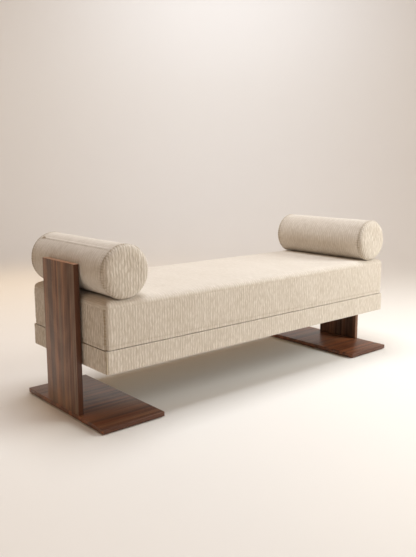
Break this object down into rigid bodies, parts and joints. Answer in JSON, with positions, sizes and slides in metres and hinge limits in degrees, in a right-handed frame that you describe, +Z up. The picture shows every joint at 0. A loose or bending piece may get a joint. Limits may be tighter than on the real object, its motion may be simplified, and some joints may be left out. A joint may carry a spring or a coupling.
{
  "type": "daybed",
  "caption": "Low daybed with an upholstered base and loose mattress on T-shaped timber legs, with a loose round bolster against the post at each end.",
  "frame": {"origin": "on the floor, under the middle of the bed", "axes": "+X along the bed to the right-hand end, +Y from the front to the back, +Z up"},
  "size_m": [1.962, 0.677, 0.7773],
  "materials": {
    "walnut": "satin",
    "ribbed_cloth": "matte",
    "zip_tape": "matte",
    "soft_foam": "matte",
    "dust_cloth": "matte",
    "pine": "matte",
    "plywood": "matte",
    "beech": "matte",
    "zinc_steel": "satin",
    "black_steel": "satin",
    "brass_insert": "satin",
    "rubber_pad": "matte",
    "zip_metal": "satin"
  },
  "bodies": {
    "frame": {"left_foot_plate": "walnut", "left_post": "walnut", "left_floor_pad": "rubber_pad", "left_foot_bolts": "zinc_steel", "left_foot_inserts": "brass_insert", "left_dowels": "beech", "left_spacer_plate": "black_steel", "left_hanger_inserts": "brass_insert", "left_hanger_bolts": "zinc_steel", "left_hanger_washers": "zinc_steel", "right_foot_plate": "walnut", "right_post": "walnut", "right_floor_pad": "rubber_pad", "right_foot_bolts": "zinc_steel", "right_foot_inserts": "brass_insert", "right_dowels": "beech", "right_spacer_plate": "black_steel", "right_hanger_inserts": "brass_insert", "right_hanger_bolts": "zinc_steel", "right_hanger_washers": "zinc_steel", "front_rail": "pine", "back_rail": "pine", "left_end_rail": "pine", "right_end_rail": "pine", "left_mounting_block": "plywood", "right_mounting_block": "plywood", "left_cross_rail": "pine", "centre_cross_rail": "pine", "right_cross_rail": "pine", "corner_blocks": "pine", "corner_screws": "zinc_steel", "cross_rail_screws": "zinc_steel", "deck_panel": "plywood", "deck_screws": "zinc_steel", "front_padding": "soft_foam", "back_padding": "soft_foam", "left_end_padding": "soft_foam", "right_end_padding": "soft_foam", "base_cover": "ribbed_cloth", "dust_cover": "dust_cloth", "dust_cover_staples": "zinc_steel", "non_slip_mat": "rubber_pad"},
    "mattress": {"mattress_core": "soft_foam", "mattress_topper": "soft_foam", "mattress_cover": "ribbed_cloth", "mattress_zip": "zip_tape"},
    "mattress_zip_pull": {"mattress_zip_slider": "zip_metal"},
    "left_bolster": {"left_bolster_core": "soft_foam", "left_bolster_cover": "ribbed_cloth", "left_bolster_front_cap": "ribbed_cloth", "left_bolster_back_cap": "ribbed_cloth", "left_bolster_zip": "zip_tape"},
    "left_bolster_zip_pull": {"left_bolster_zip_slider": "zip_metal"},
    "right_bolster": {"right_bolster_core": "soft_foam", "right_bolster_cover": "ribbed_cloth", "right_bolster_front_cap": "ribbed_cloth", "right_bolster_back_cap": "ribbed_cloth", "right_bolster_zip": "zip_tape"},
    "right_bolster_zip_pull": {"right_bolster_zip_slider": "zip_metal"}
  },
  "joints": [
    {"name": "mattress_lift", "type": "slide", "parent": "frame", "child": "mattress", "axis": [0, 0, 1], "range_m": [0, 0.3]},
    {"name": "left_bolster_lift", "type": "slide", "parent": "mattress", "child": "left_bolster", "axis": [0, 0, 1], "range_m": [0, 0.3]},
    {"name": "right_bolster_lift", "type": "slide", "parent": "mattress", "child": "right_bolster", "axis": [0, 0, 1], "range_m": [0, 0.3]},
    {"name": "mattress_zip_run", "type": "slide", "parent": "mattress", "child": "mattress_zip_pull", "axis": [1, 0, 0], "range_m": [0, 1.464]},
    {"name": "left_bolster_zip_run", "type": "slide", "parent": "left_bolster", "child": "left_bolster_zip_pull", "axis": [0, -1, 0], "range_m": [0, 0.55]},
    {"name": "right_bolster_zip_run", "type": "slide", "parent": "right_bolster", "child": "right_bolster_zip_pull", "axis": [0, -1, 0], "range_m": [0, 0.55]}
  ]
}
